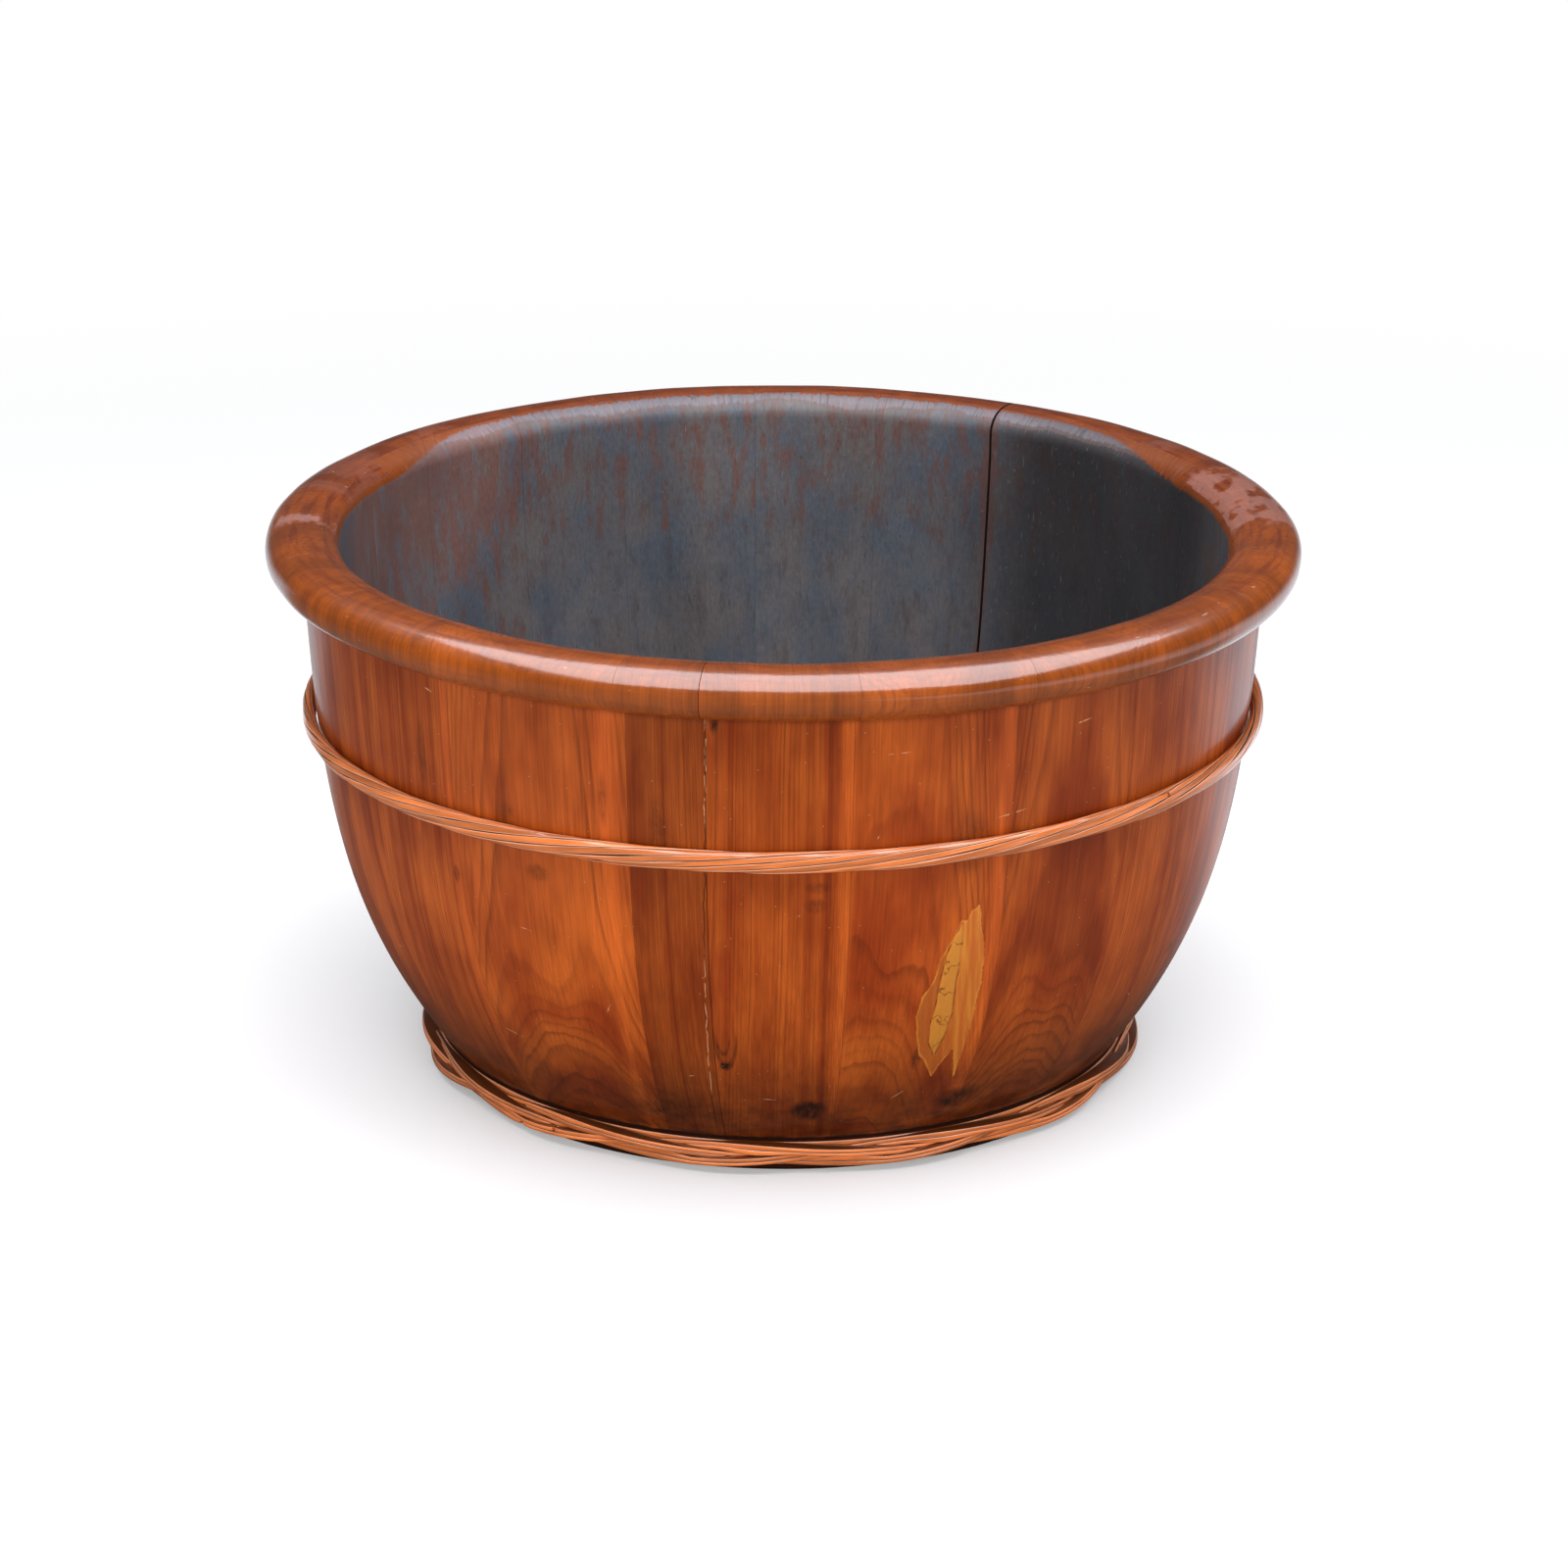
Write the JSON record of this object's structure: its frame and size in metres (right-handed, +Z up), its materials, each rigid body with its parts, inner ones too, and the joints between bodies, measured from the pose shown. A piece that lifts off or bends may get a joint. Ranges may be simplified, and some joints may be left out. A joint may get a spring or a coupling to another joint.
{
  "type": "wooden wash basin",
  "caption": "Round wooden wash basin: varnished staves with a carved rolled lip, a groove-fitted floor, and a twisted and a plaited cane hoop.",
  "frame": {"origin": "centre of the foot on the ground", "axes": "+Z up; -Y is the side that faces the camera in the picture, with the filler patch right of its middle; +X is that view's right"},
  "size_m": [0.7, 0.7, 0.378],
  "materials": {
    "varnished_wood": "glossy red-brown varnish outside, worn dark lacquer inside",
    "lacquered_floor": "worn dark lacquer",
    "split_cane": "varnished split cane",
    "bamboo": "bare",
    "wood_filler": "matt ochre filler"
  },
  "bodies": {
    "root": {"stave_1": "varnished_wood", "stave_2": "varnished_wood", "stave_3": "varnished_wood", "stave_4": "varnished_wood", "stave_5": "varnished_wood", "stave_6": "varnished_wood", "stave_7": "varnished_wood", "stave_8": "varnished_wood", "stave_9": "varnished_wood", "stave_10": "varnished_wood", "stave_11": "varnished_wood", "stave_12": "varnished_wood", "stave_13": "varnished_wood", "stave_14": "varnished_wood", "stave_15": "varnished_wood", "stave_16": "varnished_wood", "stave_17": "varnished_wood", "stave_18": "varnished_wood", "stave_19": "varnished_wood", "stave_20": "varnished_wood", "stave_21": "varnished_wood", "floor_board_1": "lacquered_floor", "floor_board_2": "lacquered_floor", "floor_board_3": "lacquered_floor", "floor_board_4": "lacquered_floor", "floor_board_5": "lacquered_floor", "upper_hoop_splint_1": "split_cane", "upper_hoop_splint_2": "split_cane", "upper_hoop_splint_3": "split_cane", "upper_hoop_splint_4": "split_cane", "upper_hoop_splint_5": "split_cane", "upper_hoop_splint_6": "split_cane", "upper_hoop_splint_7": "split_cane", "upper_hoop_splint_8": "split_cane", "upper_hoop_splint_9": "split_cane", "lower_hoop_splint_1": "split_cane", "lower_hoop_splint_2": "split_cane", "lower_hoop_splint_3": "split_cane", "lower_hoop_splint_4": "split_cane", "lower_hoop_splint_5": "split_cane", "lower_hoop_splint_6": "split_cane", "lower_hoop_core_1": "split_cane", "lower_hoop_core_2": "split_cane", "lower_hoop_core_3": "split_cane", "stave_pegs": "bamboo", "floor_pegs": "bamboo", "filler_patch": "wood_filler"}
  },
  "joints": []
}
